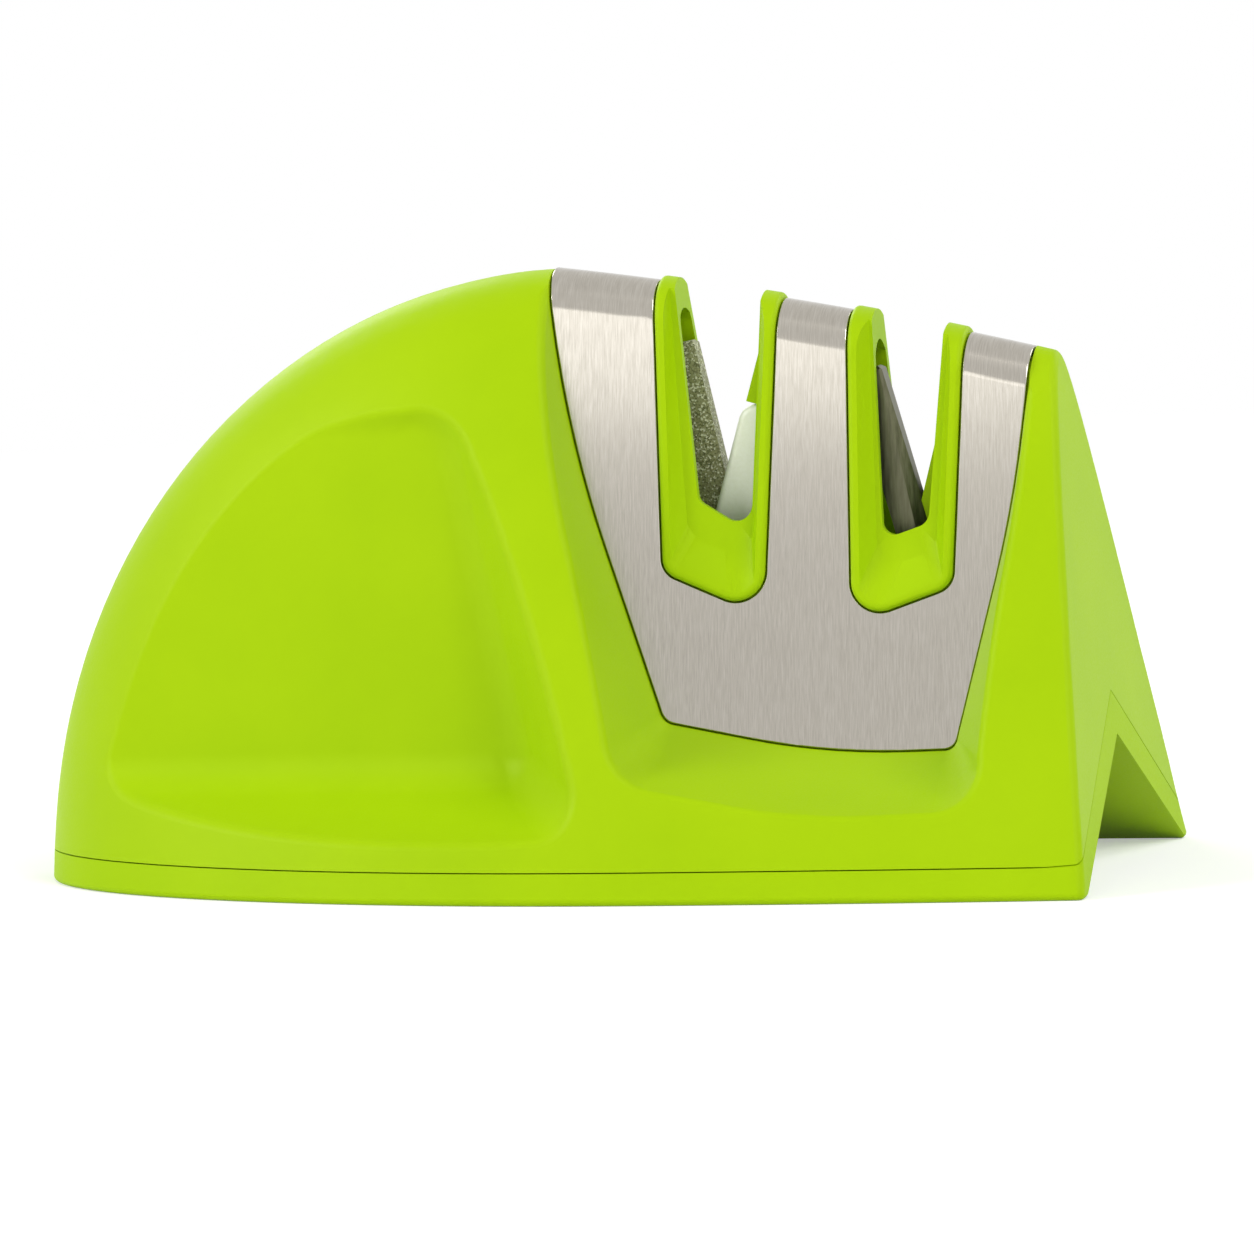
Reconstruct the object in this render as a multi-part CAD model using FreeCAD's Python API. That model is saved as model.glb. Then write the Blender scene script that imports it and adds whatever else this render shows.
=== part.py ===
import FreeCAD, Part
import math
import os

from FreeCAD import Placement, Rotation, Vector

# Pull-through knife sharpener: a domed handle with finger scoops on the left, a thin ridge
# with two knife slots on the right, a bent steel plate over the ridge and a soft base with
# an inverted V channel that sits on the edge of a worktop.
# Frame: +X from the handle to the slots, +Y away from the user, +Z up, millimetres.
# The origin is the middle of the footprint, on the surface that the sharpener stands on.

# Overall body
length = 107.0            # handle nose to the foot of the end face
end_x = length / 2        # foot of the end face
width = 56.0              # widest point of the footprint
end_width = 52.0          # footprint at the end face
widest_x = end_x - 45.0   # where the footprint is widest
dome_height = 58.35       # top of the handle
peak_x = end_x - 53.5     # where the handle's curve ends and the ridge line starts
ridge_end_x = end_x - 6.4 # where the ridge line meets the end face
ridge_end_height = dome_height - 8.55
ridge_arc = 420.0         # radius of the ridge line's gentle arch
end_lean = 6.85           # degrees that the end face leans back
dome_round = 0.49         # roundness of the handle's cross-section, 0 is a tent, 1 an ellipse
end_round = 0.15          # roundness of the cross-section at the end face
round_from_x = end_x - 77.0  # the cross-section changes from the handle's roundness here
round_to_x = end_x - 17.0  # and has the end face's roundness from here on
wall = 2.4                # moulded wall of the housing
end_radius = 0.9          # rounded edge of the end face
floor_radius = 0.5        # rounded edge where the base meets the floor
nose_setback = 1.8        # the hollow stops this many walls short of the nose

# Ridge that the steel plate straddles
ridge_radius = 4.3        # outside of the plate's bend
plate_lean = 9.0          # degrees that each leaf of the plate leans back
plate_thickness = 0.6
tape_thickness = 0.15     # adhesive tape under each leaf
tape_margin = 1.6         # tape stops short of the plate's edges
tape_top_drop = 9.0       # tape starts this far below the ridge line
plate_edge_radius = 0.14  # broken edge of the sheet
lip_rise = 0.45           # slot lips stand this far above the plate
lip_radius = 0.45         # rounded outer edge of the slot lips
recess_rim_radius = 1.0   # rounded edge of the recess round the plate
bay_wall = 1.15           # housing wall between the plate's seat and the slot bays
edge_gap = 0.15           # joint line round the plate and round the slot lips

# Base
rim_height = 3.0          # base band round the footprint
channel_height = 13.0     # apex of the inverted V channel above the floor
channel_half = 24.3       # half width of the channel on the floor
roof_thickness = 4.1      # base wall over the channel, measured straight up
channel_stop_x = end_x - 65.5  # the channel ends here, under the handle
channel_stop_slope = 60.0 # degrees, slope of the channel's closed end
seam_gap = 0.12           # joint line between housing and base
skin_thickness = 2.0      # soft skin under the rigid frame of the base
frame_inset = 2.2         # rigid frame stays this far inside the footprint

# Fasteners
base_screw_radius = 1.5
base_screw_head_radius = 2.8
base_screw_head_height = 2.0
base_screw_length = 12.0  # shank, without its tip
base_screw_tip = 1.6
base_screw_grip = 3.2     # thickness of the base between a screw's head and the housing
base_hole_clearance = 0.25
base_well_clearance = 0.3
base_screw_xs = (21.0 - end_x, end_x - 52.2, end_x - 8.8)
boss_radius = 3.4
pad_radius = 4.6
pad_rise = 1.2            # screw pads stand this far above the base's roof
pad_foot = 1.0            # and start this far above the floor
nose_pad_top = 6.5        # pad of the screw in front of the channel
collar = 1.2              # the frame reaches this far down round each screw head
holder_screw_radius = 1.0
holder_screw_head_radius = 1.8
holder_screw_head_height = 1.6
holder_screw_tip = 1.0
holder_screw_sink = 0.5   # heads lie this far below the holder's face
holder_screw_stop = 2.0   # shanks end this far before the holder's other face
holder_screw_z = 27.0
holder_well_clearance = 0.2
screw_clearance = 0.03    # screw in its own thread
tip_room = 0.2            # free space past a screw's tip
tip_share = 0.3           # width of a screw's tip, as a share of its shank
head_chamfer = 0.3
drive_length = 2.6        # cross recess in the screw heads
drive_width = 0.6
drive_depth = 1.0

# Abrasives and their holders
bar_thickness = 2.2
bar_gap = 0.16            # between the two crossing bars
bar_clearance = 0.05      # bar in its groove
bay_clearance = 0.15      # holder in its bay
holder_top = 30.5
bar_foot = 19.8           # lowest point of the bars, inside the holders
bar_chamfer = 0.35        # eased top edges of the flat bars
ground_top = 0.25         # face ground on the carbide blades' working edges, its width at their tops
ground_foot = 2.2         # and at their feet
ground_angle = 31.0       # degrees between the ground face and the blade's flat
stick_top_radius = 1.76   # rounded top of the ceramic stick
stick_edge_radius = 0.66  # rounded long edges of the ceramic stick
guide_strip = 1.0         # holder arm beside the short bar
guide_root = 3.0          # holder arm starts this far inside the holder
guide_setback = 0.3       # holder arm stays behind the short bar's working edge
rib = 1.8                 # wall between the bays

# Construction
far = 72.0                # reach past the whole part
overrun = 6.0             # the body's form runs this far past the end face before it is cut
touch = 0.01              # two points closer than this are one
sharp_from = 10.0         # degrees, edges that turn less than this are smooth already


def from_end(corners):
    """Outline through corners (distance before the foot of the end face, z, radius)."""
    return [(end_x - back, z, radius) for back, z, radius in corners]


# Outlines are seen from the front.
# Each flare says how a corner (x, z, radius) changes for each millimetre towards the user.
plate_outline = from_end([
    (56.0, dome_height + 13.65, 0), (54.2, dome_height - 12.35, 110), (43.55, 15.6, 1.6), (27.5, 12.4, 70),
    (15.4, 12.7, 1.3), (8.6, dome_height - 18.35, 110), (7.6, dome_height + 13.65, 0),
])
recess_flare = [
    (0, 0, 0), (-0.08, 0, 0), (-0.18, -0.34, 0.3), (0, -0.34, 0),
    (0.42, -0.34, 0.25), (0.2, 0, 0), (0, 0, 0),
]
recess_middle = (end_x - 29.5, 30.0)

scoop_outline = from_end([
    (55.5, 10.8, 3.0), (64.5, dome_height - 11.55, 6.0), (128.5, dome_height - 11.55, 0), (128.5, 9.8, 0),
])
scoop_flare = [(0.72, -0.49, 0.15), (2.0, 0.4, 0.6), (0, 0.4, 0), (0, -0.49, 0)]
scoop_middle = (end_x - 73.5, dome_height - 33.35)
scoop_depth = 6.22        # of the scoop's floor below the skin, at its middle
scoop_lean = 6.3          # degrees that the scoop's floor leans back
scoop_turn = 5.5          # degrees that the scoop's floor turns in towards the nose
scoop_fillet = 5.0        # blend between the scoop's floor and its walls
scoop_rim_radius = 1.5    # rounded edge of the scoop

# Bars and guides have side -1 in the front layer and 1 in the rear one.
fine_slot = {
    "name": "fine",
    "cut": from_end([(45.3, far, 0), (43.85, 29.6, 2.2), (33.8, 25.3, 3.0), (31.9, far, 0)]),
    "panel": from_end([(44.6, far, 0), (41.5, 33.3, 1.5), (35.3, 30.7, 1.8), (33.8, far, 0)]),
    "throat": from_end([(44.6, far, 0), (40.5, 36.3, 1.2), (35.35, 33.2, 1.6), (33.8, far, 0)]),
    "bay": (end_x - 46.8, end_x - 30.1),
    "cross": (end_x - 38.95, 37.8),
    "guide": -1,
    "left": {"node": "diamond_bar", "tilt": 12.0, "width": 4.0, "top": 51.3, "side": 1},
    "right": {"node": "ceramic_stick", "tilt": 16.5, "width": 4.0, "top": 45.6, "side": -1},
    "screw_xs": (end_x - 44.1, end_x - 32.8),
}
coarse_slot = {
    "name": "coarse",
    "cut": from_end([(26.25, far, 0), (25.5, 24.4, 3.0), (15.5, 27.9, 2.2), (13.7, far, 0)]),
    "panel": from_end([(24.6, far, 0), (23.05, 29.6, 1.8), (17.4, 31.6, 1.6), (15.1, far, 0)]),
    "throat": from_end([(24.6, far, 0), (22.55, 32.4, 1.2), (18.15, 33.9, 1.5), (15.1, far, 0)]),
    "bay": (end_x - 28.3, end_x - 12.6),
    "cross": (end_x - 19.65, 36.4),
    "guide": -1,
    "left": {"node": "carbide_left", "tilt": 15.3, "width": 3.3, "top": 48.8, "side": -1},
    "right": {"node": "carbide_right", "tilt": 15.3, "width": 3.3, "top": 41.5, "side": 1},
    "screw_xs": (end_x - 25.6, end_x - 15.3),
}
slots = (fine_slot, coarse_slot)
panel_depth = 1.5         # slot panel lies this far behind the lips
lip_land = 0.9            # land round each slot lip

base_top = channel_height + roof_thickness
lean = math.radians(plate_lean)
seat_depth = plate_thickness + tape_thickness
bay_depth = seat_depth + bay_wall

# Centre of the ridge line's arc, below the part
chord_x = ridge_end_x - peak_x
chord_z = ridge_end_height - dome_height
chord = math.hypot(chord_x, chord_z)
arc_depth = math.sqrt(ridge_arc ** 2 - chord ** 2 / 4)
arc_x = (peak_x + ridge_end_x) / 2 + arc_depth * chord_z / chord
arc_z = (dome_height + ridge_end_height) / 2 - arc_depth * chord_x / chord


# Body skin

def half_plan(x):
    """Half width of the footprint at x."""
    if x < widest_x:
        reach = (widest_x - x) / (widest_x + end_x)
        return width / 2 * math.sqrt(max(0.0, 1 - reach ** 2))
    reach = (x - widest_x) / (end_x - widest_x)
    return width / 2 - (width - end_width) / 2 * reach ** 2


def crown(x):
    """Height of the body's top line at x."""
    if x < peak_x:
        reach = (peak_x - x) / (peak_x + end_x)
        return dome_height * math.sqrt(max(0.0, 1 - reach ** 2))
    return arc_z + math.sqrt(ridge_arc ** 2 - (x - arc_x) ** 2)


def roundness(x):
    """Roundness of the cross-section at x, blended from the handle to the end face."""
    t = min(1.0, max(0.0, (x - round_from_x) / (round_to_x - round_from_x)))
    return dome_round + (end_round - dome_round) * t * t * (3 - 2 * t)


def section_point(x, s, inset):
    """Point of the skin at station x, where s runs from -1 at the front to 1 at the back."""
    rho = roundness(x)
    slack = 1 - 2 * rho
    drop = (math.sqrt(rho * rho + slack * s * s) - rho) / slack
    return Vector(x, (half_plan(x) - inset) * s, (crown(x) - inset) * (1 - drop))


def half_at(x, z):
    """Half thickness of the body at x and height z."""
    drop = 1 - z / crown(x)
    rho = roundness(x)
    return half_plan(x) * math.sqrt((1 - 2 * rho) * drop * drop + 2 * rho * drop)


def skin(inset=0.0):
    """Closed solid of the body's outer form, or of the form a wall further in."""
    reach = peak_x + end_x
    angles = (88, 80, 70, 60, 50, 40, 30, 20, 10)
    nose = math.degrees(math.asin((reach - nose_setback * inset) / reach)) if inset else 90
    stations = [peak_x - reach * math.sin(math.radians(a)) for a in angles if a < nose]
    stations += [peak_x + (end_x + overrun - peak_x) * i / 6 for i in range(7)]
    spread = [math.copysign(abs(t / 10) ** 1.5, t) for t in range(-10, 11)]
    surface = Part.BSplineSurface()
    surface.interpolate([[section_point(x, s, inset) for s in spread] for x in stations])
    face = surface.toShape()
    u0, u1, v0, v1 = surface.bounds()
    ends = [surface.uIso(u).toShape() for u in (u0, u1)]
    sides = [surface.vIso(v).toShape() for v in (v0, v1)]
    feet = [Part.makeLine(e.Vertexes[0].Point, e.Vertexes[-1].Point) for e in ends]
    caps = [Part.Face(Part.Wire([e, f])) for e, f in zip(ends, feet)]
    floor = Part.Face(Part.Wire(Part.__sortEdges__(sides + feet)))
    shell = Part.Shell([face, floor] + caps)
    shell.sewShape()
    solid = Part.Solid(shell)
    if solid.Volume < 0:
        solid.reverse()
    return solid


# Outlines

def grown(outline, distance):
    """The outline with every edge moved outwards by distance."""
    count = len(outline)
    turn = 0
    for (ax, az, _), (bx, bz, _) in zip(outline, outline[1:] + outline[:1]):
        turn += ax * bz - bx * az
    sense = 1 if turn > 0 else -1
    lines = []
    for i in range(count):
        ax, az, bx, bz = *outline[i][:2], *outline[(i + 1) % count][:2]
        size = math.hypot(bx - ax, bz - az)
        nx, nz = sense * (bz - az) / size, -sense * (bx - ax) / size
        lines.append((nx, nz, nx * ax + nz * az + distance))
    corners = []
    for i in range(count):
        (a, b, p), (c, d, q) = lines[i - 1], lines[i]
        area = a * d - b * c
        radius = max(outline[i][2] + distance, edge_gap) if outline[i][2] else 0
        corners.append(((p * d - b * q) / area, (a * q - p * c) / area, radius))
    return corners


def wire(outline, y):
    """Closed wire through the outline's rounded corners, in the upright plane at y."""
    count = len(outline)
    edges = []
    starts, stops, middles = [], [], []
    for i in range(count):
        here = Vector(outline[i][0], y, outline[i][1])
        before = Vector(outline[i - 1][0], y, outline[i - 1][1]) - here
        after = Vector(outline[(i + 1) % count][0], y, outline[(i + 1) % count][1]) - here
        before.normalize()
        after.normalize()
        radius = outline[i][2]
        half = before.getAngle(after) / 2
        run = radius / math.tan(half) if radius else 0
        starts.append(here + before * run)
        stops.append(here + after * run)
        bisector = (before + after).normalize()
        middles.append(here + bisector * (radius / math.sin(half) - radius))
    for i in range(count):
        if outline[i][2]:
            edges.append(Part.Arc(starts[i], middles[i], stops[i]).toShape())
        edges.append(Part.makeLine(stops[i], starts[(i + 1) % count]))
    return Part.Wire(edges)


def prism(outline):
    """The outline pushed right through the part."""
    return Part.Face(wire(outline, -far)).extrude(Vector(0, 2 * far, 0))


def on_plane(outline, plane, reach):
    """The outline's wire on a leaning plane (y, y per x, y per z), moved by reach to the front."""
    shear = FreeCAD.Matrix()
    shear.A24, shear.A21, shear.A23 = plane[0] - reach, plane[1], plane[2]
    return wire(outline, 0).transformGeometry(shear)


def flared(outline, flare, plane, near, out):
    """Cutter with the outline as its section on the plane, opening towards the front."""
    rings = []
    for reach in (-near, out):
        corners = [(x + fx * reach, z + fz * reach, r + fr * reach)
                   for (x, z, r), (fx, fz, fr) in zip(outline, flare)]
        rings.append(on_plane(corners, plane, reach))
    return Part.makeLoft(rings, True, True)


def mirrored(shape):
    """The same shape on the back of the part."""
    return shape.mirror(Vector(0, 0, 0), Vector(0, 1, 0))


def both_sides(shape):
    """The shape and its mirror image on the back."""
    return [shape, mirrored(shape)]


# Rounded edges

def middle_of(edge):
    """Point half way along an edge."""
    return edge.valueAt((edge.FirstParameter + edge.LastParameter) / 2)


def is_sharp(shape, edge):
    """Whether the two faces at an edge meet at an angle."""
    normals = []
    for face in shape.ancestorsOfType(edge, Part.Face):
        normals.append(face.normalAt(*face.Surface.parameter(middle_of(edge))))
    return len(normals) == 2 and normals[0].getAngle(normals[1]) > math.radians(sharp_from)


def skin_edges(shape, keep):
    """Sharp edges of the body's skin, its largest face, whose middles pass the test."""
    face = max(shape.Faces, key=lambda each: each.Area)
    return [edge for edge in face.Edges if keep(middle_of(edge)) and is_sharp(shape, edge)]


def ridge_offset(point):
    """How far a point lies outside the plate's outer form."""
    across = abs(point.y)
    above = math.hypot(point.x - arc_x, point.z - arc_z) - ridge_arc + ridge_radius
    if above > across * math.tan(lean):
        return math.hypot(across, above) - ridge_radius
    return across * math.cos(lean) + above * math.sin(lean) - ridge_radius


def ridge_edges(shape, offset):
    """Sharp edges on the ridge's form at offset."""
    return [edge for edge in shape.Edges
            if abs(ridge_offset(middle_of(edge)) - offset) < touch and is_sharp(shape, edge)]


# Ridge

def ridge_block(offset):
    """Block under the ridge: the plate's outside form moved outwards by offset."""
    r = ridge_radius + offset
    middle = arc_z + ridge_arc - ridge_radius
    low = middle - 2 * far
    tangent = Vector(arc_x, r * math.cos(lean), middle + r * math.sin(lean))
    foot = Vector(arc_x, tangent.y + (tangent.z - low) * math.tan(lean), low)
    top = Vector(arc_x, 0, middle + r)
    front, front_foot = Vector(arc_x, -tangent.y, tangent.z), Vector(arc_x, -foot.y, low)
    edges = [Part.makeLine(foot, tangent), Part.Arc(tangent, top, front).toShape(),
             Part.makeLine(front, front_foot), Part.makeLine(front_foot, foot)]
    sweep = math.degrees(math.asin((end_x + far - arc_x) / ridge_arc))
    return Part.Face(Part.Wire(edges)).revolve(Vector(arc_x, 0, arc_z), Vector(0, 1, 0), sweep)


def leaf_half(x, z, offset=0.0):
    """Half thickness of the ridge block at x, z on its flat leaf."""
    up = math.hypot(x - arc_x, z - arc_z) - ridge_arc
    return (ridge_radius + offset) / math.cos(lean) - (ridge_radius + up) * math.tan(lean)


def leaf_plane(point, offset):
    """Plane (y, y per x, y per z) that touches the front leaf at a point, moved out by offset."""
    x, z = point
    out = math.hypot(x - arc_x, z - arc_z)
    per_x = math.tan(lean) * (x - arc_x) / out
    per_z = math.tan(lean) * (z - arc_z) / out
    return -leaf_half(x, z, offset) - per_x * x - per_z * z, per_x, per_z


def end_plane_cut(inset):
    """Everything past the leaning end face, moved in by inset."""
    block = Part.makeBox(2 * far, 4 * far, 4 * far, Vector(0, -2 * far, -2 * far))
    foot = Vector(end_x - inset, 0, 0)
    block.Placement = Placement(foot, Rotation(Vector(0, 1, 0), -end_lean))
    return block


# Whole body

def body_form():
    """Outer form of the housing and base together, with its end face and floor edge rounded."""
    form = skin().cut(end_plane_cut(0))
    ends = skin_edges(form, lambda point: point.x > ridge_end_x - end_radius and point.z > rim_height)
    form = form.makeFillet(end_radius, ends)
    return form.makeFillet(floor_radius, skin_edges(form, lambda point: point.z < touch))


# Hollows in the body

def recess(grow, offset):
    """Front pocket for the plate: everything outside the ridge block within the flared outline."""
    outline = grown(plate_outline, edge_gap + grow)
    cutter = flared(outline, recess_flare, leaf_plane(recess_middle, 0), ridge_radius / 2, end_x)
    return cutter.cut(ridge_block(offset))


def scoop_plane(grow):
    """Plane (y, y per x, y per z) of the front scoop's floor, moved in by grow."""
    x, z = scoop_middle
    per_x = -math.tan(math.radians(scoop_turn))
    per_z = math.tan(math.radians(scoop_lean))
    return grow + scoop_depth - half_at(x, z) - per_x * x - per_z * z, per_x, per_z


def scoop(grow):
    """Front finger scoop of the handle, with its floor blended into its walls."""
    plane = scoop_plane(grow)
    cutter = flared(grown(scoop_outline, grow), scoop_flare, plane, 0, end_x)
    blends = []
    for edge in cutter.Edges:
        middle = middle_of(edge)
        on_floor = abs(middle.y - plane[0] - plane[1] * middle.x - plane[2] * middle.z) < touch
        if on_floor and middle.x > -end_x - wall:
            blends.append(edge)
    return cutter.makeFillet(scoop_fillet - grow / 2, blends)


# Base

def wedge(top, half, lift):
    """Prism with an upright triangle as its section, sloped off where it ends under the handle."""
    slope = math.radians(channel_stop_slope)
    stop = channel_stop_x - lift / math.tan(slope)
    corners = [Vector(stop, -half, 0), Vector(stop, half, 0), Vector(stop, 0, top), Vector(stop, -half, 0)]
    block = Part.Face(Part.makePolygon(corners)).extrude(Vector(2 * far, 0, 0))
    hip = Part.makeBox(2 * far, 4 * far, 2 * far, Vector(-2 * far, -2 * far, 0))
    hip.Placement = Placement(Vector(stop, 0, 0), Rotation(Vector(0, 1, 0), 90 - channel_stop_slope))
    return block.cut(hip)


def channel(lift=0.0):
    """The inverted V channel, or the form that lies lift above it."""
    top = channel_height + lift
    return wedge(top, channel_half * top / channel_height, lift)


def roof(gap):
    """Solid under the base's roof, whose edges run out at the band's top at the end face."""
    run = half_at(end_x, rim_height)
    top = base_top + gap
    return wedge(top, run * top / (base_top - rim_height), roof_thickness + gap)


def base_form(gap):
    """Space that the base takes in the body: the band round the footprint and the roof."""
    slab = Part.makeBox(4 * far, 4 * far, rim_height + gap + far, Vector(-2 * far, -2 * far, -far))
    return slab.fuse(roof(gap))


def pad_top(x):
    """Height of the pad that carries the housing's boss at x."""
    return nose_pad_top if x < channel_stop_x else base_top + pad_rise


def screw_pads(foot, gap):
    """Round pads on the base under the housing's bosses, or the room that they need."""
    return [Part.makeCylinder(pad_radius + gap, pad_top(x) - foot, Vector(x, 0, foot))
            for x in base_screw_xs]


def head_seat(x):
    """Height at which the screw head at x bears on the base."""
    return pad_top(x) - base_screw_grip


def screw(seat, axis, radius, length, tip, head_radius, head_height):
    """Screw that bears at seat, with its shank along axis and a cross recess in its head."""
    head = Part.makeCylinder(head_radius, head_height, Vector(0, 0, -head_height))
    head = head.makeChamfer(head_chamfer, [e for e in head.Edges if e.BoundBox.ZMax < -head_height / 2])
    shank = Part.makeCylinder(radius, length)
    point = Part.makeCone(radius, radius * tip_share, tip, Vector(0, 0, length))
    bars = []
    for along, across in ((drive_length, drive_width), (drive_width, drive_length)):
        bars.append(Part.makeBox(along, across, drive_depth, Vector(-along / 2, -across / 2, -head_height)))
    solid = head.fuse([shank, point]).cut(bars).removeSplitter()
    solid.Placement = Placement(seat, Rotation(Vector(0, 0, 1), axis))
    return solid


def base_screws():
    """The screws that hold the base to the housing, heads down."""
    return [screw(Vector(x, 0, head_seat(x)), Vector(0, 0, 1), base_screw_radius, base_screw_length,
                  base_screw_tip, base_screw_head_radius, base_screw_head_height)
            for x in base_screw_xs]


def base_screw_holes():
    """Holes in the base for its screws, with wells for their heads."""
    holes = []
    for x in base_screw_xs:
        seat = head_seat(x)
        well = base_screw_head_radius + base_well_clearance
        shank = base_screw_radius + base_hole_clearance
        holes.append(Part.makeCylinder(well, far, Vector(x, 0, seat - far)))
        holes.append(Part.makeCylinder(shank, far, Vector(x, 0, seat - base_screw_head_height)))
    return holes


def boss_holes():
    """Pilot holes for the base screws in the housing's bosses."""
    depth = base_screw_length + base_screw_tip + tip_room
    return [Part.makeCylinder(base_screw_radius + screw_clearance, depth, Vector(x, 0, head_seat(x)))
            for x in base_screw_xs]


def base_solid():
    """The whole base before it is split into its rigid frame and its soft skin."""
    solid = body_form().common(base_form(0))
    solid = solid.fuse(screw_pads(pad_foot, 0))
    return solid.cut(channel()).cut(base_screw_holes())


def base_parts():
    """Rigid frame of the base and the soft skin moulded round it."""
    whole = base_solid()
    core = skin(frame_inset).cut(end_plane_cut(frame_inset)).cut(channel(skin_thickness))
    core = core.cut(Part.makeBox(4 * far, 4 * far, skin_thickness + far, Vector(-2 * far, -2 * far, -far)))
    collars = []
    for x in base_screw_xs:
        low = head_seat(x) - collar
        collars.append(Part.makeCylinder(pad_radius, pad_top(x) - low, Vector(x, 0, low)))
    core = core.fuse(collars)
    frame = whole.common(core).removeSplitter()
    return frame, whole.cut(core).removeSplitter()


# Housing

def bosses():
    """Posts in the housing that take the base screws."""
    return [Part.makeCylinder(boss_radius, far, Vector(x, 0, pad_top(x))) for x in base_screw_xs]


def bay_ribs():
    """Walls across the ridge that close each slot bay."""
    ribs = []
    for slot in slots:
        low, high = slot["bay"]
        for x in (low - rib, high):
            ribs.append(Part.makeBox(rib, 4 * far, far, Vector(x, -2 * far, base_top)))
    return ribs


def cavity():
    """Hollow inside the housing, less its bosses and ribs."""
    hollow = skin(wall).cut(end_plane_cut(wall))
    for cutter in both_sides(recess(wall, -bay_depth)) + both_sides(scoop(wall)):
        hollow = hollow.cut(cutter)
    hollow = hollow.common(ridge_or_handle())
    return hollow.cut(bosses() + bay_ribs())


def ridge_or_handle():
    """Limits the hollow to the ridge block, except in the handle."""
    handle_end = plate_outline[0][0] - wall
    handle = Part.makeBox(2 * far, 4 * far, 3 * far, Vector(handle_end - 2 * far, -2 * far, -far))
    low = Part.makeBox(4 * far, 4 * far, base_top, Vector(-2 * far, -2 * far, 0))
    return ridge_block(-bay_depth).fuse([handle, low])


def plate_region(grow, slot_grow):
    """Prism of the plate's outline with its two slots open to the top."""
    region = prism(grown(plate_outline, grow))
    for slot in slots:
        region = region.cut(prism(grown(slot["cut"], slot_grow)))
    return region


def slot_lips():
    """Blocks round the slots that stand up through the plate, with their outer edges rounded."""
    lips = []
    for slot in slots:
        lip = ridge_block(lip_rise).common(prism(grown(slot["cut"], -edge_gap)))
        lips.append(lip.makeFillet(lip_radius, ridge_edges(lip, lip_rise)))
    return lips


def plate_pockets():
    """Seat of the plate and the flared recesses round it, less the slot lips that stand up in them."""
    seat = prism(grown(plate_outline, edge_gap)).cut(ridge_block(-seat_depth))
    lips = slot_lips()
    return [cutter.cut(lips) for cutter in [seat] + both_sides(recess(0, -plate_thickness / 2))]


def slot_funnel(slot):
    """Front funnel of a slot, from the land on its lip down to its panel."""
    land = grown(slot["cut"], -edge_gap - lip_land)
    rings = [on_plane(land, leaf_plane(slot["cross"], lip_rise), touch),
             on_plane(slot["panel"], leaf_plane(slot["cross"], lip_rise - panel_depth), 0)]
    return Part.makeLoft(rings, True, True)


def housing():
    """Moulded housing with handle, ridge, slot lips, bosses and ribs."""
    body = body_form().cut(base_form(seam_gap))
    for cutter in both_sides(scoop(0)):
        body = body.cut(cutter)
    scoop_rims = skin_edges(body, lambda point: rim_height + wall < point.z and point.x < widest_x)
    body = body.makeFillet(scoop_rim_radius, scoop_rims)
    for cutter in plate_pockets():
        body = body.cut(cutter)
    recess_rims = skin_edges(body, lambda point: rim_height + wall < point.z and abs(point.y) > ridge_radius)
    body = body.makeFillet(recess_rim_radius, recess_rims).fuse(slot_lips())
    for slot in slots:
        body = body.cut(both_sides(slot_funnel(slot)))
        body = body.cut(prism(slot["throat"]))
    body = body.cut(cavity())
    return body.cut(screw_pads(0, seam_gap) + boss_holes()).removeSplitter()


# Steel plate and tape

def saddle_plate():
    """Bent steel plate: two leaves joined by three straps over the ridge."""
    shell = ridge_block(0).cut(ridge_block(-plate_thickness))
    sheet = shell.common(plate_region(0, 0))
    return sheet.makeFillet(plate_edge_radius, ridge_edges(sheet, 0))


def plate_tapes():
    """Adhesive tape between each leaf of the plate and the housing."""
    sheet = ridge_block(-plate_thickness).cut(ridge_block(-seat_depth))
    sheet = sheet.common(plate_region(-tape_margin, tape_margin))
    middle = Vector(arc_x, -2 * far, arc_z)
    below = Part.makeCylinder(ridge_arc - tape_top_drop, 2 * far, middle, Vector(0, 1, 0))
    front = sheet.common(below)
    return front, mirrored(front)


# Abrasives and holders

def bar_blank(slot, key, top_z, foot_z, slack):
    """Leaning bar of a slot, grown by slack, as a prism in its own layer."""
    bar = slot[key]
    turn = -bar["tilt"] if key == "left" else bar["tilt"]
    cx, cz = slot["cross"]
    rise = (top_z - cz) / math.cos(math.radians(turn))
    drop = (cz - foot_z) / math.cos(math.radians(turn))
    low_y = bar_gap / 2 - slack if bar["side"] > 0 else -bar_gap / 2 - bar_thickness - slack
    low_x = -bar["width"] - slack if key == "left" else -slack
    box = Part.makeBox(bar["width"] + 2 * slack, bar_thickness + 2 * slack, rise + drop + 2 * slack,
                       Vector(low_x, low_y, -drop - slack))
    box.Placement = Placement(Vector(cx, 0, cz), Rotation(Vector(0, 1, 0), turn)).multiply(box.Placement)
    return box


def abrasive(slot, key):
    """One abrasive bar with its top edges eased."""
    bar = slot[key]
    blank = bar_blank(slot, key, bar["top"], bar_foot, 0)
    tops = [e for e in blank.Edges if e.BoundBox.ZMin > bar["top"] - bar["width"] / 2]
    if bar["node"] == "ceramic_stick":
        corners = [e for e in tops if abs(e.BoundBox.YLength - bar_thickness) < touch]
        blank = blank.makeFillet(stick_top_radius, corners)
        longs = [e for e in blank.Edges if e.BoundBox.ZLength > (bar["top"] - bar_foot) / 2]
        return blank.makeFillet(stick_edge_radius, longs)
    blank = blank.makeChamfer(bar_chamfer, tops)
    return blank.cut(ground_face(slot, key)) if slot is coarse_slot else blank


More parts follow.
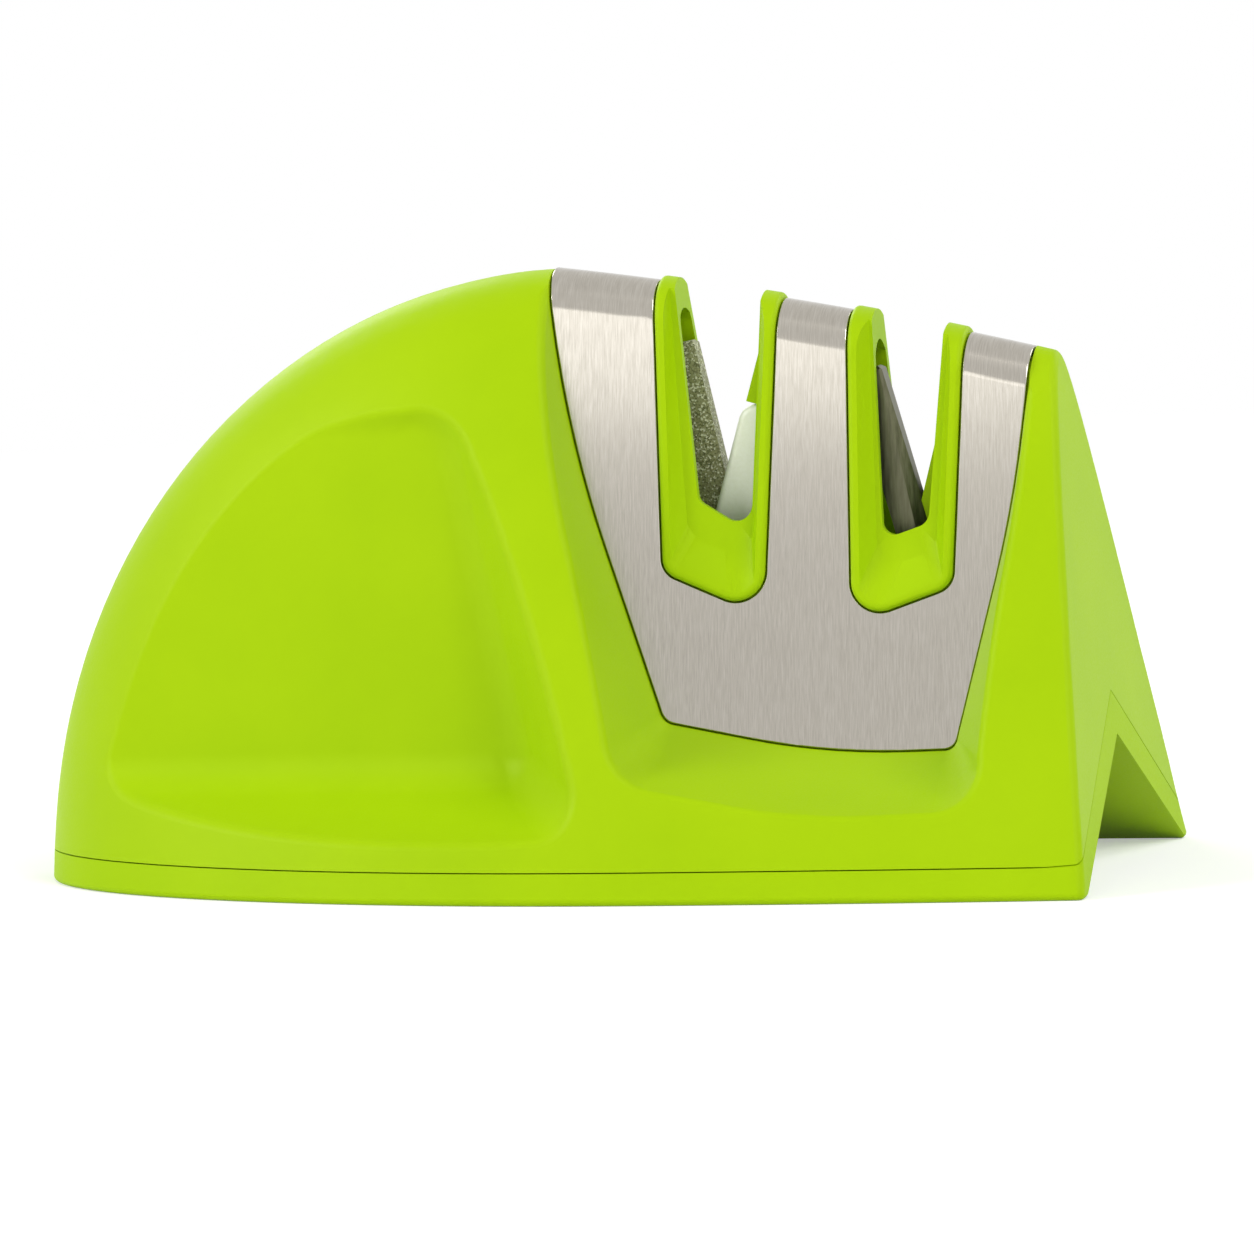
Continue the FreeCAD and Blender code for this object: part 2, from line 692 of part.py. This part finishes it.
def ground_face(slot, key):
    """Wedge that is ground off a blade's outer working edge, wider towards its foot."""
    bar = slot[key]
    turn = -bar["tilt"] if key == "left" else bar["tilt"]
    inward = -1 if key == "left" else 1
    outer = bar["side"] * (bar_gap / 2 + bar_thickness)
    rings = []
    for z, run in ((bar["top"], ground_top), (bar_foot, ground_foot)):
        along = (z - slot["cross"][1]) / math.cos(math.radians(turn))
        depth = run * math.tan(math.radians(ground_angle))
        corners = [Vector(0, outer, along), Vector(inward * run, outer, along),
                   Vector(0, outer - bar["side"] * depth, along), Vector(0, outer, along)]
        rings.append(Part.makePolygon(corners))
    wedge_cut = Part.makeLoft(rings, True, True)
    wedge_cut.Placement = Placement(Vector(slot["cross"][0], 0, slot["cross"][1]), Rotation(Vector(0, 1, 0), turn))
    return wedge_cut


def bay_space(slot, slack):
    """Room in the housing for a slot's holder."""
    low, high = slot["bay"]
    box = Part.makeBox(high - low - 2 * slack, 4 * far, far, Vector(low + slack, -2 * far, 0))
    return box.common(ridge_block(-bay_depth - slack)).cut(roof(slack)).cut(bay_screw_room())


def bay_screw_room():
    """Space round the housing's bosses that the holders keep clear of."""
    return [Part.makeCylinder(pad_radius + bay_clearance, far, Vector(x, 0, 0)) for x in base_screw_xs]


def holder_block(slot):
    """Both halves of a slot's holder in one block, without grooves."""
    low = Part.makeBox(4 * far, 4 * far, holder_top, Vector(-2 * far, -2 * far, 0))
    return bay_space(slot, bay_clearance).common(low)


def guide_arm(slot):
    """Arm along the short right bar, which guides the knife into the slot."""
    bar = {**slot["right"], "side": slot["guide"]}
    wide = {**slot, "right": {**bar, "width": bar["width"] + guide_strip}}
    thin = {**slot, "right": {**bar, "width": guide_setback}}
    arm = bar_blank(wide, "right", crown(slot["bay"][1]) - ridge_radius, holder_top - guide_root, 0)
    setback = bar_blank(thin, "right", far, 0, bar_clearance)
    return arm.cut(setback).common(bay_space(slot, bay_clearance)).removeSplitter()


def holder_screw_span(x):
    """Where a holder screw at x bears and how long its shank is."""
    half = leaf_half(x, holder_screw_z, -bay_depth - bay_clearance)
    seat = holder_screw_sink + holder_screw_head_height - half
    return seat, half - holder_screw_stop - seat


def holder_screws(slot):
    """The two screws that clamp a slot's holder halves, heads at the front."""
    screws = []
    for x in slot["screw_xs"]:
        seat, reach = holder_screw_span(x)
        screws.append(screw(Vector(x, seat, holder_screw_z), Vector(0, 1, 0), holder_screw_radius, reach,
                            holder_screw_tip, holder_screw_head_radius, holder_screw_head_height))
    return screws


def holder_screw_holes(slot):
    """Holes for the holder screws, with wells for their heads."""
    holes = []
    for x in slot["screw_xs"]:
        seat, reach = holder_screw_span(x)
        well = holder_screw_head_radius + holder_well_clearance
        depth = reach + holder_screw_tip + tip_room
        holes.append(Part.makeCylinder(well, far, Vector(x, seat - far, holder_screw_z), Vector(0, 1, 0)))
        holes.append(Part.makeCylinder(holder_screw_radius + screw_clearance, depth,
                                       Vector(x, seat, holder_screw_z), Vector(0, 1, 0)))
    return holes


def holder_halves(slot):
    """Front and rear halves of a slot's holder, grooved for the bars."""
    block = holder_block(slot)
    grooves = [bar_blank(slot, key, slot[key]["top"], bar_foot, bar_clearance) for key in ("left", "right")]
    halves = []
    for side in (-1, 1):
        y_from = -2 * far if side < 0 else bar_clearance
        room = Part.makeBox(4 * far, 2 * far - bar_clearance, 3 * far, Vector(-2 * far, y_from, -far))
        half = block.common(room)
        if side == slot["guide"]:
            half = half.fuse(guide_arm(slot))
        halves.append(half.cut(grooves).cut(holder_screw_holes(slot)).removeSplitter())
    return halves


# Output

def write(node, shape):
    """Writes one node as a STEP file and says what it holds."""
    shape.exportStep(os.path.join("parts", node + ".step"))
    print(node, "solids", len(shape.Solids), "valid", shape.isValid(), "volume", round(shape.Volume, 1))


def main():
    os.makedirs("parts", exist_ok=True)
    write("housing", housing())
    write("saddle_plate", saddle_plate())
    front_tape, rear_tape = plate_tapes()
    write("plate_tape_front", front_tape)
    write("plate_tape_rear", rear_tape)
    frame, grip = base_parts()
    write("base_frame", frame)
    write("grip_skin", grip)
    write("base_screws", Part.makeCompound(base_screws()))
    for slot in slots:
        front, rear = holder_halves(slot)
        write(slot["name"] + "_holder_front", front)
        write(slot["name"] + "_holder_rear", rear)
        write(slot["name"] + "_holder_screws", Part.makeCompound(holder_screws(slot)))
        for key in ("left", "right"):
            write(slot[key]["node"], abrasive(slot, key))


main()
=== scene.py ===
import math
import bmesh
import bpy
from mathutils import Matrix, Vector


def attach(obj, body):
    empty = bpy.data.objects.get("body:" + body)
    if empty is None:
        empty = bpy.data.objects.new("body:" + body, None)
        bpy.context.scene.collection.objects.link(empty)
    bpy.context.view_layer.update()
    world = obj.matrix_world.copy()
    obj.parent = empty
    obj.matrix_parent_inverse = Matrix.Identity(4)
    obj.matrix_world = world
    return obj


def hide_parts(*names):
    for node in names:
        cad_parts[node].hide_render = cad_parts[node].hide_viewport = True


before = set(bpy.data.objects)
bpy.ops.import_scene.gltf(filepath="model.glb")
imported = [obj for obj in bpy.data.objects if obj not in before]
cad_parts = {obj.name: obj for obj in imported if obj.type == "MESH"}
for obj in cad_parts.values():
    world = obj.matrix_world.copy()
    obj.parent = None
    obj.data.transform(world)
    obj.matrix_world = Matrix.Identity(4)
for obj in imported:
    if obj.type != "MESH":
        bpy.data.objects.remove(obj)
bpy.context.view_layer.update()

scene = bpy.context.scene
scene.view_settings.view_transform = "Standard"
mm = 0.001
white = (1.0, 1.0, 1.0, 1.0)
print("frame loaded,", len(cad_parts), "nodes")


# small helpers for the finishes

def newFinish(name):
    finish = bpy.data.materials.new(name)
    finish.use_nodes = True
    tree = finish.node_tree
    coords = tree.nodes.new("ShaderNodeTexCoord")
    return finish, tree, tree.nodes["Principled BSDF"], coords.outputs["Object"]


def setShader(shader, **values):
    for socket, value in values.items():
        shader.inputs[socket.replace("_", " ")].default_value = value


def stretched(tree, coords, scale, turn=(0.0, 0.0, 0.0)):
    mapping = tree.nodes.new("ShaderNodeMapping")
    mapping.inputs["Rotation"].default_value = turn
    mapping.inputs["Scale"].default_value = scale
    tree.links.new(coords, mapping.inputs["Vector"])
    return mapping.outputs["Vector"]


def noiseOf(tree, vector, scale=1.0, detail=2.0, roughness=0.5):
    noise = tree.nodes.new("ShaderNodeTexNoise")
    noise.inputs["Scale"].default_value = scale
    noise.inputs["Detail"].default_value = detail
    noise.inputs["Roughness"].default_value = roughness
    tree.links.new(vector, noise.inputs["Vector"])
    return noise.outputs["Fac"]


def cellsOf(tree, vector, scale):
    cells = tree.nodes.new("ShaderNodeTexVoronoi")
    cells.inputs["Scale"].default_value = scale
    tree.links.new(vector, cells.inputs["Vector"])
    shade = tree.nodes.new("ShaderNodeSeparateColor")
    tree.links.new(cells.outputs["Color"], shade.inputs["Color"])
    return cells.outputs["Distance"], shade.outputs["Red"], shade.outputs["Green"]


def rampOf(tree, factor, stops, colours):
    ramp = tree.nodes.new("ShaderNodeValToRGB")
    while len(ramp.color_ramp.elements) < len(stops):
        ramp.color_ramp.elements.new(0.5)
    for element, position, colour in zip(ramp.color_ramp.elements, stops, colours):
        element.position = position
        element.color = (*colour, 1.0)
    tree.links.new(factor, ramp.inputs["Fac"])
    return ramp.outputs["Color"]


# noise keeps to its middle, so the default takes in 0.3 to 0.7
def rangeOf(tree, value, low, high, fromLow=0.3, fromHigh=0.7):
    span = tree.nodes.new("ShaderNodeMapRange")
    for socket, number in (("From Min", fromLow), ("From Max", fromHigh), ("To Min", low), ("To Max", high)):
        span.inputs[socket].default_value = number
    tree.links.new(value, span.inputs["Value"])
    return span.outputs["Result"]


def mathOf(tree, operation, first, second):
    node = tree.nodes.new("ShaderNodeMath")
    node.operation = operation
    for socket, value in zip(node.inputs, (first, second)):
        if isinstance(value, (int, float)):
            socket.default_value = value
        else:
            tree.links.new(value, socket)
    return node.outputs["Value"]


# 1 for rays that show the surroundings themselves, in the picture, in metal or in glass
def directRays(tree):
    rays = tree.nodes.new("ShaderNodeLightPath")
    seen = mathOf(tree, "MAXIMUM", rays.outputs["Is Camera Ray"], rays.outputs["Is Glossy Ray"])
    return mathOf(tree, "MAXIMUM", seen, rays.outputs["Is Transmission Ray"])


def dress(tree, shader, tint, rough, height, depth, strength=1.0):
    bump = tree.nodes.new("ShaderNodeBump")
    bump.inputs["Strength"].default_value = strength
    bump.inputs["Distance"].default_value = depth
    tree.links.new(height, bump.inputs["Height"])
    for value, socket in ((tint, "Base Color"), (rough, "Roughness"), (bump.outputs["Normal"], "Normal")):
        tree.links.new(value, shader.inputs[socket])


# moulded plastic: even colour with a slow drift and a fine spark-eroded grain

limeLook = {
    "deep": (0.348, 0.563, 0.0010),
    "plain": (0.364, 0.580, 0.0012),
    "pale": (0.378, 0.594, 0.0016),
    "stops": (0.3, 0.5, 0.7),
    "cloud": 60,          # slow colour drift, per metre
    "grain": 5200,        # moulded grain, per metre
    "depth": 0.006 * mm,
    "rough": (0.44, 0.54),
    "gloss": 0.18,
    "glossTint": (1.0, 0.95, 0.40, 1.0),
}
gripLook = dict(limeLook, grain=4200, depth=0.010 * mm, rough=(0.50, 0.60), gloss=0.15)
frameLook = {
    "deep": (0.140, 0.250, 0.004),
    "plain": (0.160, 0.285, 0.005),
    "pale": (0.180, 0.310, 0.007),
    "stops": (0.3, 0.5, 0.7),
    "cloud": 120,
    "grain": 5000,
    "depth": 0.015 * mm,
    "rough": (0.45, 0.60),
    "gloss": 0.35,
    "glossTint": white,
}


def moulded(name, look):
    finish, tree, shader, coords = newFinish(name)
    drift = noiseOf(tree, coords, look["cloud"], detail=3)
    grain = noiseOf(tree, coords, look["grain"], detail=2)
    tint = rampOf(tree, drift, look["stops"], (look["deep"], look["plain"], look["pale"]))
    dress(tree, shader, tint, rangeOf(tree, grain, *look["rough"]), grain, look["depth"])
    setShader(shader, Specular_IOR_Level=look["gloss"], Specular_Tint=look["glossTint"])
    return finish


limePlastic = moulded("limePlastic", limeLook)
limeGrip = moulded("limeGrip", gripLook)
framePlastic = moulded("framePlastic", frameLook)

# brushed sheet: short hairlines that run up the leaves and over the bend

steelLook = {
    "dark": (0.400, 0.374, 0.325),
    "plain": (0.444, 0.416, 0.364),
    "bright": (0.490, 0.462, 0.410),
    "stops": (0.1, 0.5, 0.9),
    "hair": (9000, 520, 520),     # per metre across and along the hairlines
    "streak": (3600, 260, 260),
    "streakShare": 0.35,
    "span": (0.40, 0.95),         # what hairlines and streaks add up to
    "depth": 0.0016 * mm,
    "rough": (0.19, 0.15),
    "stretch": 0.8,               # how far highlights spread across the hairlines
    "grainMap": "hairlines",      # map whose first axis lies across the hairlines
}


def brushed(name, look):
    finish, tree, shader, coords = newFinish(name)
    hair = noiseOf(tree, stretched(tree, coords, look["hair"]), detail=2, roughness=0.6)
    streak = noiseOf(tree, stretched(tree, coords, look["streak"]), detail=2, roughness=0.5)
    both = mathOf(tree, "ADD", hair, mathOf(tree, "MULTIPLY", streak, look["streakShare"]))
    level = rangeOf(tree, both, 0.0, 1.0, *look["span"])
    tint = rampOf(tree, level, look["stops"], (look["dark"], look["plain"], look["bright"]))
    dress(tree, shader, tint, rangeOf(tree, level, *look["rough"], 0.0, 1.0), hair, look["depth"])
    along = tree.nodes.new("ShaderNodeTangent")
    along.direction_type = "UV_MAP"
    along.uv_map = look["grainMap"]
    tree.links.new(along.outputs["Tangent"], shader.inputs["Tangent"])
    setShader(shader, Metallic=1.0, Anisotropic=look["stretch"])
    return finish


brushedSteel = brushed("brushedSteel", steelLook)

# plated diamond: dark bond full of small grains, some with a painted glint, a bright colour in place of the
# light they catch

gritLook = {
    "bond": (0.145, 0.146, 0.062),
    "grit": (0.340, 0.342, 0.170),
    # painted glint: bright colour on some grains in place of the light they catch
    "paintedGlint": (0.80, 0.80, 0.60),
    "stops": (0.05, 0.50, 0.78, 0.92),
    "grain": 6400,
    "fine": 11000,
    "scatter": (-0.12, 0.12),     # how far the fine noise shifts a grain's tone
    "rough": (0.32, 0.65),
    "depth": 0.045 * mm,
    "strength": 0.6,
    "metal": 0.25,
}


def gritty(name, look):
    finish, tree, shader, coords = newFinish(name)
    distance, shade, wear = cellsOf(tree, coords, look["grain"])
    fine = noiseOf(tree, coords, look["fine"], detail=2, roughness=0.6)
    level = mathOf(tree, "ADD", shade, rangeOf(tree, fine, *look["scatter"]))
    # the last stop gives the randomly picked grains a painted glint
    tint = rampOf(tree, level, look["stops"], (look["bond"], look["grit"], look["grit"], look["paintedGlint"]))
    rough = rangeOf(tree, wear, *look["rough"], 0.0, 1.0)
    dress(tree, shader, tint, rough, distance, look["depth"], look["strength"])
    setShader(shader, Metallic=look["metal"])
    return finish


diamondGrit = gritty("diamondGrit", gritLook)

# fired ceramic and paper-backed tape: pale, close-grained

ceramicLook = {
    "shade": (0.92, 0.94, 0.79),
    "plain": (0.96, 0.98, 0.85),
    "stops": (0.35, 0.6),
    "grain": 3000,
    "depth": 0.006 * mm,
    "rough": (0.30, 0.40),
}
tapeLook = {
    "shade": (0.66, 0.66, 0.62),
    "plain": (0.76, 0.76, 0.72),
    "stops": (0.35, 0.6),
    "grain": 2600,
    "depth": 0.02 * mm,
    "rough": (0.55, 0.70),
}


def closeGrained(name, look):
    finish, tree, shader, coords = newFinish(name)
    grain = noiseOf(tree, coords, look["grain"], detail=4, roughness=0.7)
    tint = rampOf(tree, grain, look["stops"], (look["shade"], look["plain"]))
    dress(tree, shader, tint, rangeOf(tree, grain, *look["rough"]), grain, look["depth"])
    return finish


whiteCeramic = closeGrained("whiteCeramic", ceramicLook)
adhesiveTape = closeGrained("adhesiveTape", tapeLook)

# ground metal: marks along the blade, turned with its lean

carbideLook = {
    "dark": (0.098, 0.097, 0.056),
    "bright": (0.178, 0.175, 0.112),
    "stops": (0.3, 0.72),
    "ground": (3600, 3600, 300),
    "lean": 15.3,
    "depth": 0.006 * mm,
    "rough": (0.30, 0.44),
    "metal": 0.9,
}
screwLook = {
    "dark": (0.42, 0.42, 0.43),
    "bright": (0.62, 0.62, 0.63),
    "stops": (0.3, 0.72),
    "ground": (1500, 1500, 1500),
    "lean": 0.0,
    "depth": 0.010 * mm,
    "rough": (0.25, 0.42),
    "metal": 0.9,
}


def groundMetal(name, look):
    finish, tree, shader, coords = newFinish(name)
    turned = stretched(tree, coords, look["ground"], (0.0, math.radians(look["lean"]), 0.0))
    marks = noiseOf(tree, turned, detail=3, roughness=0.6)
    tint = rampOf(tree, marks, look["stops"], (look["dark"], look["bright"]))
    dress(tree, shader, tint, rangeOf(tree, marks, *look["rough"]), marks, look["depth"])
    setShader(shader, Metallic=look["metal"])
    return finish


carbideLeftSteel = groundMetal("carbideLeftSteel", carbideLook)
carbideRightSteel = groundMetal("carbideRightSteel", dict(carbideLook, lean=-carbideLook["lean"]))
screwSteel = groundMetal("screwSteel", screwLook)
print("finishes ready")


# pieces that show their curves: the solid's skin in one piece, shaded evenly over its rounded edges

skinLook = {
    "merge": 0.0005 * mm,
    "crease": 34,         # edges that turn more than this stay crisp
    "stray": 22,          # triangles whose shading leans further than this are left flat
    "evenness": 95,       # how far wide triangles outweigh narrow ones
}
sheetLook = {
    "leaf": Vector((0.0, 0.988, 0.154)),      # lie of the plate's leaves, whose rims stay crisp
    "lean": 2.5,                              # triangles within this of it belong to a leaf
    "mapSize": 10 * mm,
}
skinPieces = [
    {"name": "housingMoulding", "node": "housing", "finish": limePlastic, "slot": "lime_plastic",
     "sheet": False},
    {"name": "gripMoulding", "node": "grip_skin", "finish": limeGrip, "slot": "lime_grip",
     "sheet": False},
    {"name": "saddlePlateSheet", "node": "saddle_plate", "finish": brushedSteel, "slot": "brushed_steel",
     "sheet": True},
    {"name": "ceramicStickRound", "node": "ceramic_stick", "finish": whiteCeramic, "slot": "white_ceramic",
     "sheet": False},
]


def mapHairlines(bm):
    layer = bm.loops.layers.uv.new(steelLook["grainMap"])
    size = sheetLook["mapSize"]
    for face in bm.faces:
        for loop in face.loops:
            loop[layer].uv = (loop.vert.co.x / size, loop.vert.co.y / size)


def onLeaf(face):
    lean = sheetLook["leaf"].dot(Vector([abs(part) for part in face.normal]))
    return lean > math.cos(math.radians(sheetLook["lean"]))


def leafRims(bm):
    return [edge.index for edge in bm.edges if len({onLeaf(face) for face in edge.link_faces}) == 2]


def skinPiece(look):
    bm = bmesh.new()
    bm.from_mesh(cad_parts[look["node"]].data)
    bmesh.ops.remove_doubles(bm, verts=bm.verts, dist=skinLook["merge"])
    for face in bm.faces:
        face.smooth = True
        face.material_index = 0
    bm.normal_update()
    bm.edges.index_update()
    crisp = []
    if look["sheet"]:
        mapHairlines(bm)
        crisp = leafRims(bm)
    mesh = bpy.data.meshes.new(look["name"])
    bm.to_mesh(mesh)
    bm.free()
    mesh.set_sharp_from_angle(angle=math.radians(skinLook["crease"]))
    for index in crisp:
        mesh.edges[index].use_edge_sharp = True
    least = math.cos(math.radians(skinLook["stray"]))
    shading = [corner.vector.copy() for corner in mesh.corner_normals]
    for face in mesh.polygons:
        if min(face.normal.dot(shading[corner]) for corner in face.loop_indices) < least:
            face.use_smooth = False
    mesh.materials.append(look["finish"])
    piece = bpy.data.objects.new(look["name"], mesh)
    scene.collection.objects.link(piece)
    even = piece.modifiers.new("evenShading", "WEIGHTED_NORMAL")
    even.mode = "FACE_AREA"
    even.weight = skinLook["evenness"]
    even.keep_sharp = True
    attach(piece, "root")
    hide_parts(look["node"])
    print(piece.name, "has", len(mesh.polygons), "triangles")


for look in skinPieces:
    skinPiece(look)

# the solids that show as they are
nodeFinishes = {
    "plate_tape_front": adhesiveTape,
    "plate_tape_rear": adhesiveTape,
    "base_frame": framePlastic,
    "base_screws": screwSteel,
    "fine_holder_front": limePlastic,
    "fine_holder_rear": limePlastic,
    "fine_holder_screws": screwSteel,
    "diamond_bar": diamondGrit,
    "coarse_holder_front": limePlastic,
    "coarse_holder_rear": limePlastic,
    "coarse_holder_screws": screwSteel,
    "carbide_left": carbideLeftSteel,
    "carbide_right": carbideRightSteel,
}
for nodeName, finish in nodeFinishes.items():
    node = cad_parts[nodeName]
    node.data.materials.clear()
    node.data.materials.append(finish)
print("pieces ready")


# floor, light and camera

floorLook = {
    "size": 3.0,
    "drop": 0.02 * mm,        # clear of the foot, so that the two don't flicker from below
    "bounce": 0.90,           # white paper, as it lights the object
    "seen": 0.75,             # share of the light and shadow on it that shows
    "glow": 0.39,
    "fade": (0.20, 0.50),     # distances over which the shadow passes into plain white
    "rough": 0.9,
}


def makeFloor(look):
    bm = bmesh.new()
    bmesh.ops.create_grid(bm, x_segments=1, y_segments=1, size=look["size"])
    mesh = bpy.data.meshes.new("studioFloor")
    bm.to_mesh(mesh)
    bm.free()
    mesh.transform(Matrix.Translation((0.0, 0.0, -look["drop"])))
    floor = bpy.data.objects.new("studioFloor", mesh)
    scene.collection.objects.link(floor)
    finish, tree, shader, coords = newFinish("studioPaper")
    direct = directRays(tree)
    distance = tree.nodes.new("ShaderNodeVectorMath")
    distance.operation = "LENGTH"
    tree.links.new(coords, distance.inputs[0])
    shade = rangeOf(tree, distance.outputs["Value"], look["seen"], 0.0, *look["fade"])
    glow = rangeOf(tree, distance.outputs["Value"], look["glow"], 1.0, *look["fade"])
    less = mathOf(tree, "MULTIPLY", direct, mathOf(tree, "SUBTRACT", look["bounce"], shade))
    setShader(shader, Roughness=look["rough"], Specular_IOR_Level=0.0, Emission_Color=white)
    tree.links.new(mathOf(tree, "SUBTRACT", look["bounce"], less), shader.inputs["Base Color"])
    tree.links.new(mathOf(tree, "MULTIPLY", direct, glow), shader.inputs["Emission Strength"])
    mesh.materials.append(finish)


makeFloor(floorLook)

lampAim = Vector((0.0, 0.0, 25 * mm))
# the strip draws the bright band under the plate's bend
# the other lamps stand where the plate doesn't mirror them towards the camera
lampLook = {
    "strip": {"place": (-0.045, -0.30, 0.136), "size": (0.36, 0.048), "power": 0.069},
    "front": {"place": (0.85, -0.80, 1.45), "size": (0.50, 0.90), "power": 9.6},
    "key": {"place": (-1.24, -0.74, 0.78), "size": (0.60, 0.60), "power": 13.6},
    "side": {"place": (1.15, -0.50, 0.90), "size": (0.60, 0.60), "power": 6.0},
    "back": {"place": (0.85, 1.05, 0.90), "size": (0.60, 0.60), "power": 4.0},
    "rear": {"place": (-0.85, 1.15, 0.85), "size": (0.60, 0.60), "power": 6.5},
}


def makeLamp(name, look):
    lamp = bpy.data.lights.new(name, "AREA")
    lamp.shape = "RECTANGLE"
    lamp.size, lamp.size_y = look["size"]
    lamp.energy = look["power"]
    holder = bpy.data.objects.new(name, lamp)
    scene.collection.objects.link(holder)
    holder.location = look["place"]
    toObject = lampAim - holder.location
    holder.rotation_euler = toObject.to_track_quat("-Z", "Y").to_euler()


for lampName, look in lampLook.items():
    makeLamp(lampName + "Lamp", look)

worldLook = {
    "fill": 0.30,         # what lights the object
    "seen": 1.0,          # what the camera and the metal see
}


def makeWorld(look):
    world = bpy.data.worlds.new("studioWorld")
    scene.world = world
    world.use_nodes = True
    tree = world.node_tree
    background = tree.nodes["Background"]
    background.inputs["Color"].default_value = white
    level = rangeOf(tree, directRays(tree), look["fill"], look["seen"], 0.0, 1.0)
    tree.links.new(level, background.inputs["Strength"])


makeWorld(worldLook)

cameraLook = {
    "aim": (4.13 * mm, 0.22 * mm, 23.69 * mm),
    "azimuth": 13.415,
    "elevation": 5.696,
    "roll": 2.0,
    "distance": 1.4,
    "lens": 417.67,
    "sensor": 36.0,
    "clip": (0.05, 50.0),
}


def makeCamera(look):
    data = bpy.data.cameras.new("photoCamera")
    data.lens = look["lens"]
    data.sensor_width = look["sensor"]
    data.clip_start, data.clip_end = look["clip"]
    camera = bpy.data.objects.new("photoCamera", data)
    scene.collection.objects.link(camera)
    turn, tilt, roll = (math.radians(look[key]) for key in ("azimuth", "elevation", "roll"))
    back = Vector((math.sin(turn) * math.cos(tilt), -math.cos(turn) * math.cos(tilt), math.sin(tilt)))
    right = Vector((math.cos(turn), math.sin(turn), 0.0))
    up = back.cross(right)
    across = right * math.cos(roll) - up * math.sin(roll)
    upwards = right * math.sin(roll) + up * math.cos(roll)
    camera.matrix_world = Matrix((across, upwards, back)).transposed().to_4x4()
    camera.location = Vector(look["aim"]) + back * look["distance"]
    scene.camera = camera


makeCamera(cameraLook)
print("floor, light and camera ready")
